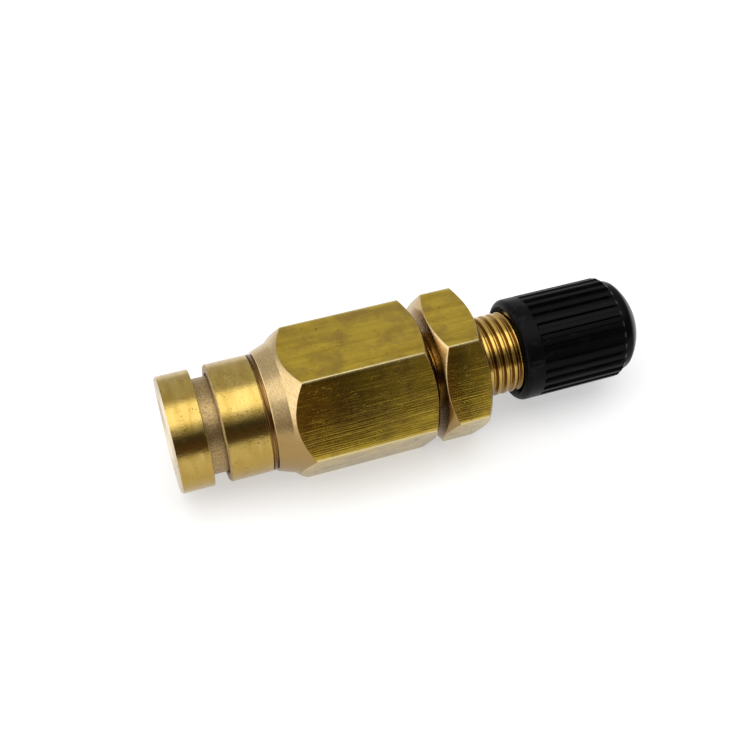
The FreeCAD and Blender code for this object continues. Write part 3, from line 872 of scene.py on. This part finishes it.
# %% The floor
FLOOR_SIZE = 6.0
FLOOR_LEVEL = cad_box[0].z - 0.02 * MM
SHEET_GLOW = 0.48
SHEET_DEEP = (0.56, 0.56, 0.56, 1)
SHEET_PALE = (0.57, 0.57, 0.57, 1)
bpy.ops.object.select_all(action="DESELECT")
bpy.ops.mesh.primitive_plane_add(size=FLOOR_SIZE, location=(0, 0, FLOOR_LEVEL))
floor = bpy.context.object
floor.name = floor.data.name = "floor"
bpy.ops.object.transform_apply(location=True, rotation=True, scale=True)
floor_finish, tree, shader, place = new_finish(
    "pale_sheet", {"Specular IOR Level": 0.2, "Emission Color": (1, 1, 1, 1),
                   "Emission Strength": SHEET_GLOW})
tone = mask(tree, noise(tree, place, 60.0, 3.0), 0.3, 0.7)
tree.links.new(mix(tree, tone, SHEET_DEEP, SHEET_PALE), shader["Base Color"])
tree.links.new(lerp(tree, tone, 0.7, 0.8), shader["Roughness"])
floor.data.materials.append(floor_finish)
print("floor at", round(FLOOR_LEVEL / MM, 2), "mm")

# %% [markdown]
# ## Light
# Metal shows what is round it more than its own colour. The brass sees a grey room behind, a bright
# window on the left, and the dark side of the room low in front, where nobody put a lamp and the
# furniture is brown. That dark side gives the front flats their depth. The room is painted on the
# world by direction: each mask has two limits, from -1 to 1, on how far a direction points up, back
# or to the side. The camera itself sees the room as a plain white backdrop.

# %% The room
world = bpy.data.worlds.new("room")
bpy.context.scene.world = world
world.use_nodes = True
tree = world.node_tree
tree.nodes.clear()
direction = add(tree, "ShaderNodeTexCoord").outputs["Generated"]
side, back, up = add(tree, "ShaderNodeSeparateXYZ", {0: direction}).outputs
low = mask(tree, up, 0.75, 0.62)
lowest = mask(tree, up, 0.48, 0.34)
front = mask(tree, back, 0.1, -0.4)
furniture = maths(tree, "MULTIPLY", lowest, mask(tree, side, 0.14, 0.04))
half_right = mask(tree, side, 0.12, 0.42)
half_left = mask(tree, side, -0.25, -0.45)
left = mask(tree, side, -0.6, -0.82)
ROOM_GREY = (0.72, 0.72, 0.72, 1)
WINDOW = (2.1, 2.1, 2.1, 1)
ROOM_DIM = (0.28, 0.28, 0.28, 1)
ROOM_DARK = (0.045, 0.041, 0.038, 1)
ROOM_RIGHT = (0.19, 0.17, 0.145, 1)
ROOM_BROWN = (0.15, 0.085, 0.050, 1)
BACKDROP = (1.0, 1.0, 1.0, 1)
dark_side = mix(tree, half_left, mix(tree, half_right, ROOM_DARK, ROOM_RIGHT), ROOM_DIM)
dark_side = mix(tree, furniture, dark_side, ROOM_BROWN)
room_colour = mix(tree, maths(tree, "MULTIPLY", low, front), ROOM_GREY, dark_side)
room_colour = mix(tree, left, room_colour, WINDOW)
seen = add(tree, "ShaderNodeLightPath").outputs["Is Camera Ray"]
room_colour = mix(tree, seen, room_colour, BACKDROP)
background = add(tree, "ShaderNodeBackground", {"Color": room_colour})
add(tree, "ShaderNodeOutputWorld", {0: background.outputs[0]})
bpy.context.scene.view_settings.view_transform = "Standard"
print("the room is painted")

# %% [markdown]
# ## The lamp
# One long soft lamp hangs overhead, a little in front. It lights the tops of the pieces and lays
# the long highlights along them. It is wide, so that their edges stay soft, and it points at the
# valve's middle.

# %% The lamp
LAMP_PLACE = Vector((0.0, -0.065, 0.40))
LAMP_WIDTH = 0.60
LAMP_DEPTH = 0.33
LAMP_WATTS = 1.08
bpy.ops.object.light_add(type="AREA", location=LAMP_PLACE)
lamp = bpy.context.object
lamp.name = lamp.data.name = "overhead_lamp"
lamp.data.shape = "RECTANGLE"
lamp.data.size = LAMP_WIDTH
lamp.data.size_y = LAMP_DEPTH
lamp.data.energy = LAMP_WATTS
lamp.rotation_euler = (-LAMP_PLACE).to_track_quat("-Z", "Y").to_euler()
print("lamp at", [round(v / MM) for v in LAMP_PLACE])

# %% [markdown]
# ## The camera
# The camera stands a hand's breadth away, in front and a little to the tube's side, looking down at
# about 46 degrees. It is turned in the hand by half a degree.

# %% The camera
AZIMUTH = math.radians(-18.23)
ELEVATION = math.radians(45.95)
ROLL = math.radians(0.593)
DISTANCE = 105.1 * MM
AIM = Vector((-3.736, 1.072, 0.0)) * MM
LENS = 53.84                         # focal length in millimetres
NEAREST = 5 * MM                     # nothing closer than this is drawn
away = Vector((math.sin(AZIMUTH) * math.cos(ELEVATION), -math.cos(AZIMUTH) * math.cos(ELEVATION),
               math.sin(ELEVATION)))
level_right = Vector((math.cos(AZIMUTH), math.sin(AZIMUTH), 0))
level_up = away.cross(level_right)
right = level_right * math.cos(ROLL) - level_up * math.sin(ROLL)
up = away.cross(right)
bpy.ops.object.camera_add(location=AIM + away * DISTANCE)
camera = bpy.context.object
camera.rotation_euler = Matrix((right, up, away)).transposed().to_euler()
camera.data.lens = LENS
camera.data.clip_start = NEAREST
bpy.context.scene.camera = camera
print("camera at", [round(v / MM, 1) for v in camera.location])
